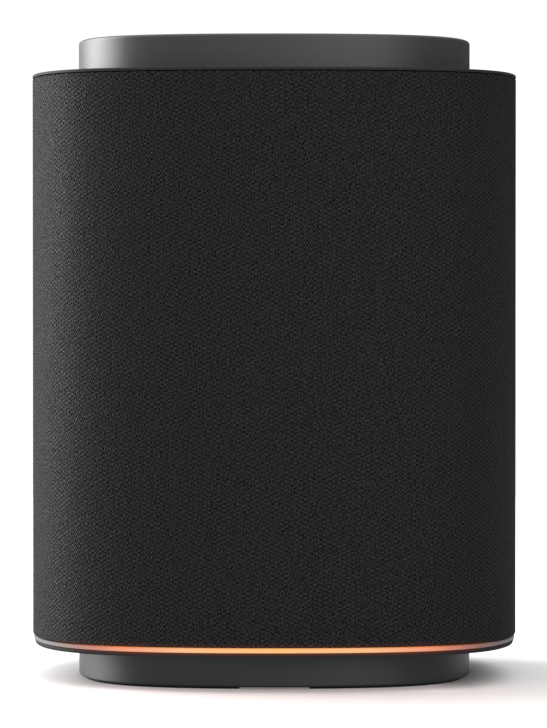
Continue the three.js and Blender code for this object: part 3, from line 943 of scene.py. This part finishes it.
# %% [markdown]
# ## The panel
# The panel is the plate that closes the cap, with a hole for each button and a small port for each microphone. It
# could be extruded from a drawn outline, but a hole is cut as it is on the bench, with a round cutter whose upper
# end flares, so each hole comes out with its small chamfer.

# %% Panel
BUTTONS = ["volume_up", "volume_down", "action", "microphone_off"]
button_places = {}
for name in BUTTONS:
    low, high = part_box(name + "_button")
    button_places[name] = ((low.x + high.x) / 2 / MM, (low.y + high.y) / 2 / MM, 0)
button_low, button_high = (corner.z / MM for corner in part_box("action_button"))
BUTTON_RADIUS = 6.5
HOLE = BUTTON_RADIUS + 0.3
PORT = 0.7

panel = cover("control_panel_plate", [
    (shelf_reach - 0.3, panel_low), (shelf_reach - 0.3, shelf_high + 0.3), (panel_half, shelf_high + 0.3),
    (panel_half, panel_high - 0.15), (panel_half - 0.15, panel_high),
], PLAN_CAP, ends="filled")
hole = turned("hole", [
    (HOLE, panel_low - 1), (HOLE, panel_high - 0.2), (HOLE + 0.4, panel_high + 0.2), (HOLE + 0.4, panel_high + 1),
])
for name in BUTTONS:
    cut(panel, settle(copied(hole, "hole_" + name), button_places[name]))
bpy.data.objects.remove(hole)
microphone_low, microphone_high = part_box("microphone_right")
port_x = (microphone_low.x + microphone_high.x) / 2 / MM
port_y = (microphone_low.y + microphone_high.y) / 2 / MM
for port in (-port_x, port_x):
    drill = turned("port", [
        (PORT, panel_low - 1), (PORT, panel_high - 0.15),
        (PORT + 0.35, panel_high + 0.2), (PORT + 0.35, panel_high + 1),
    ], 24)
    cut(panel, settle(drill, (port, port_y, 0)))
finish_piece(panel, panel_moulding, "black_plastic", "cabinet", "control_panel")

# %% [markdown]
# ## The buttons
# The four buttons are one moulding: a dished head, a flange that keeps it under the panel and a stem that works
# the switch. It could be joined from a disc and a cylinder, but it is turned from one circle, so that it comes out
# as one closed body. It is turned once, and each button is a copy that slides on its own body.

# %% Buttons
DISH = 0.4
DISH_SHARES = (0.94, 0.8, 0.6, 0.4, 0.2, 0.08)
FLANGE = 8.2
STEM = 1.9
flange_low, flange_high = button_high - 3.1, button_high - 2.5
dish_reach = BUTTON_RADIUS - 0.35
dish = [(dish_reach * share, button_high - DISH * (1 - share * share)) for share in DISH_SHARES]
button = turned("button", [
    (STEM - 0.3, button_low), (STEM, button_low + 0.3), (STEM, flange_low), (FLANGE, flange_low), (FLANGE, flange_high),
    (BUTTON_RADIUS, flange_high), *rounded(BUTTON_RADIUS - 0.3, button_high - 0.3, 0.3, 0, 90, 4), *dish,
])


# %% [markdown]
# ## The marks on the buttons
# The marks are plain signs: a plus, a minus, a ring and a crossed ring. They could be painted in the material of the
# button, but pad print has a thickness that catches the light, so each is a thin piece of its own. A bar starts as
# a small plane whose edges are drawn out, and a ring as a circle. Each rides on the body of its button.


# %% Marks
MARK_THICK = 0.12
MARK_LOW = button_high - DISH - 0.04
BAR_LONG, BAR_WIDE = 1.7, 0.22
SLASH_LONG, SLASH_WIDE = 2.1, 0.2
RING_INSIDE, RING_OUTSIDE = 1.05, 1.45
ACROSS, ALONG = [(1, 0), (-1, 0)], [(0, 1), (0, -1)]


def bar(name, half_long, half_wide, arms):
    """A bar, or a cross of bars, with round ends: a small plane whose edges are drawn out along the arms."""
    bpy.ops.object.select_all(action="DESELECT")
    bpy.ops.mesh.primitive_plane_add(size=2 * half_wide * MM)
    piece = bpy.context.object
    piece.name = piece.data.name = name
    for x, y in arms:
        def at_end(edge):
            a, b = (piece.data.vertices[i].co for i in edge.vertices)
            middle = (a + b) / 2
            off_axis = abs(middle.x * y) + abs(middle.y * x)
            return middle.x * x + middle.y * y > half_wide * 0.9 * MM and off_axis < half_wide * 0.1 * MM
        choose(piece, "EDGE", at_end)
        reach = (half_long - half_wide) * MM
        bpy.ops.mesh.extrude_edges_move(TRANSFORM_OT_translate={"value": (x * reach, y * reach, 0)})
        bpy.ops.object.mode_set(mode="OBJECT")
    choose(piece, "VERT", lambda v: max(abs(v.co.x), abs(v.co.y)) > half_long * 0.9 * MM)
    bpy.ops.mesh.bevel(offset=half_wide * 0.8 * MM, segments=3, affect="VERTICES")
    bpy.ops.mesh.select_all(action="SELECT")
    bpy.ops.mesh.extrude_region_move(TRANSFORM_OT_translate={"value": (0, 0, MARK_THICK * MM)})
    leave()
    return piece


plus = bar("volume_up_mark", BAR_LONG, BAR_WIDE, ACROSS + ALONG)
minus = bar("volume_down_mark", BAR_LONG, BAR_WIDE, ACROSS)
ring_outline = [(RING_INSIDE, 0), (RING_OUTSIDE, 0), (RING_OUTSIDE, MARK_THICK), (RING_INSIDE, MARK_THICK)]
dot = turned("action_mark", ring_outline, 40, "joined")
off_ring = turned("microphone_off_mark", ring_outline, 40, "joined")
slash = settle(bar("slash", SLASH_LONG, SLASH_WIDE, ACROSS), turn=(0, 0, 45))
lone(off_ring)
slash.select_set(True)
bpy.ops.object.join()

for name, mark in zip(BUTTONS, (plus, minus, dot, off_ring)):
    x, y, _ = button_places[name]
    copy = settle(copied(button, name + "_button_head"), (x, y, 0))
    finish_piece(copy, satin_button, "satin_cover", name, name + "_button")
    settle(mark, (x, y, MARK_LOW))
    finish_piece(mark, mark_paint, "satin_cover", name)
bpy.data.objects.remove(button)

# %% [markdown]
# ## The base
# The base is a shallow tub of the same plan as the cap, with a flat floor, a notch in the rear for the socket and
# a counterbored hole for each screw. The cover under it is a plain plate that hides the ballast. Both are drawn
# from one profile like the other covers, and only the notch and the holes are cut.

# %% Base
base_low, base_high = (corner.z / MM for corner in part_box("base_housing"))
cover_low, cover_high = (corner.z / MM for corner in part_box("bottom_cover"))
BASE_ROUND = 0.5
FLOOR_TOP = 4
floor_under = cover_high + 0.3
base = cover("base_shell", [
    (cap_half - 0.6, floor_under), (cap_half - 0.6, base_low),
    *rounded(cap_half - BASE_ROUND, base_low + BASE_ROUND, BASE_ROUND, -90, 0, 5),
    *rounded(cap_half - 0.3, base_high - 0.3, 0.3, 0, 90, 4),
    (cap_half - WALL, base_high), (cap_half - WALL, FLOOR_TOP),
], PLAN_CAP, ends="filled")
inlet_low, inlet_high = (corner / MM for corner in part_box("power_inlet"))
notch_low = (inlet_low.x - 0.3, inlet_low.y - 0.3, inlet_low.z - 0.2)
notch_high = (inlet_high.x + 0.3, 60, base_high + 1)
cut(base, block("notch", notch_low, notch_high))
screw_low, screw_high = (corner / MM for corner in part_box("base_screw_1"))
screw_place = (screw_low.x + screw_high.x) / 2
counterbore = [(3.1, 1), (3.1, 3), (1.5, 3), (1.5, 5)]
for x in (-screw_place, screw_place):
    for y in (-screw_place, screw_place):
        cut(base, settle(turned("counterbore", counterbore, 32), (x, y, 0)))
finish_piece(base, satin_cover, "satin_cover", "cabinet", "base_housing")

cover_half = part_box("bottom_cover")[1].x / MM
under = cover("bottom_cover_plate", [
    (cover_half - 3.4, cover_low + 0.15), (cover_half - 3.2, cover_low), (cover_half - 0.2, cover_low),
    (cover_half, cover_low + 0.2), (cover_half, cover_high),
], PLAN_CAP, ends="filled")
finish_piece(under, black_moulding, "black_plastic", "cabinet", "bottom_cover")

# %% [markdown]
# ## The feet
# The two feet are one ring of rubber, cut at the front and the rear; the cut at the front shows as a thin pale gap
# under the base. Each foot is drawn as the whole ring, and Bisect takes away the other half and closes the cut. Two
# arcs drawn apart would have to be matched by eye, and these cannot differ.

# %% Feet
FOOT_WIDE = 5.6
FOOT_ROUND = 0.35
foot_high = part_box("foot_left")[1].z / MM
foot_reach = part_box("foot_right")[1].x / MM
foot_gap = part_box("foot_right")[0].x / MM
inside, outside = foot_reach - FOOT_WIDE, foot_reach
for side, name in ((-1, "foot_left"), (1, "foot_right")):
    foot = cover(name + "_pad", [
        (inside, foot_high), *rounded(inside + FOOT_ROUND, FOOT_ROUND, FOOT_ROUND, 180, 270, 3),
        *rounded(outside - FOOT_ROUND, FOOT_ROUND, FOOT_ROUND, 270, 360, 3), (outside, foot_high),
    ], PLAN_CAP)
    choose(foot, "FACE", lambda face: True)
    bpy.ops.mesh.bisect(
        plane_co=(side * foot_gap * MM, 0, 0), plane_no=(side, 0, 0), use_fill=True, clear_inner=True,
    )
    leave()
    finish_piece(foot, rubber_finish, "soft_rubber", "cabinet", name)

# %% [markdown]
# ## The power socket
# The socket is the moulded block that fills the notch, with a round mouth, and a steel pin that stands in the middle
# of it for the plug. The block could be drawn from a profile too, but a bevelled cube with a bored hole is nearer to
# how such a part is drawn. The pin is turned. Both lie with their axis from front to back.


# %% Socket
MOUTH = 2.95
BORE_END = 39
INLET_LEVEL = 5.5
FRONT_TO_BACK = (-90, 0, 0)


def runs_back(edge):
    a, b = (socket.data.vertices[i].co for i in edge.vertices)
    return abs(a.y - b.y) > 1 * MM


socket = block("power_inlet_socket", inlet_low, inlet_high)
choose(socket, "EDGE", runs_back)
bpy.ops.mesh.bevel(offset=0.7 * MM, segments=4)
bpy.ops.object.mode_set(mode="OBJECT")
choose(socket, "FACE", lambda face: face.normal.y > 0.9)
bpy.ops.mesh.inset(thickness=0.45 * MM)
bpy.ops.transform.translate(value=(0, -0.35 * MM, 0))
leave()
bore_deep = inlet_high.y - BORE_END
bore = turned("bore", [
    (MOUTH - 0.3, 0), (MOUTH, 0.3), (MOUTH, bore_deep - 0.75),
    (MOUTH + 0.4, bore_deep - 0.3), (MOUTH + 0.4, bore_deep + 2),
], 48)
cut(socket, settle(bore, (0, BORE_END, INLET_LEVEL), FRONT_TO_BACK))
finish_piece(socket, black_moulding, "black_plastic", "cabinet", "power_inlet")
pin = turned("power_inlet_pin", [
    (1.3, -0.5), (1.3, 0.4), (0.95, 0.6), (0.95, 4.9), (0.75, 5.3), (0.4, 5.5),
], 32)
finish_piece(settle(pin, (0, BORE_END, INLET_LEVEL), FRONT_TO_BACK), finishes["steel"], "steel", "cabinet")

# %% [markdown]
# ## The spider of the woofer
# The spider is the corrugated disc of stiff cloth that keeps the voice coil in the middle of its gap. On the real
# woofer its collar is glued to the coil and rises and falls with it. Here the whole disc stays with the basket, so
# its collar is pressed low enough for the neck of the cone to come down without touching it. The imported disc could
# have been left in place, but the cone would cut through it. The corrugations are a cosine wave in the profile of a
# turned piece, as a round press tool would leave them.

# %% Spider
SPIDER_THICK = 0.6
COLLAR_INSIDE, COLLAR_OUTSIDE, COLLAR_DROP = 11.7, 13.0, 0.6
RIPPLES_START, RIPPLES_END, RIPPLE_STEPS = 13.9, 22.9, 30
RIPPLE, RIPPLE_SWING = 3.0, 0.9
RIM_START = 23.6
spider_low, spider_high = (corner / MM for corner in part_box("woofer_spider"))
spider_level = spider_low.z + RIPPLE_SWING
collar_level = spider_low.z - COLLAR_DROP
ripples = []
for step in range(RIPPLE_STEPS + 1):
    reach = RIPPLES_START + (RIPPLES_END - RIPPLES_START) * step / RIPPLE_STEPS
    wave = math.cos((reach - RIPPLES_START) / RIPPLE * math.tau)
    ripples.append((reach, spider_level - RIPPLE_SWING * wave))
underside = [
    (COLLAR_INSIDE, collar_level), (COLLAR_OUTSIDE, collar_level), *ripples,
    (RIM_START, spider_level), (spider_high.x, spider_level),
]
topside = [(reach, level + SPIDER_THICK) for reach, level in reversed(underside)]
spider = turned("woofer_spider_disc", underside + topside, 96, "joined")
finish_piece(spider, finishes["cone_paper"], "cone_paper", "cabinet", "woofer_spider")
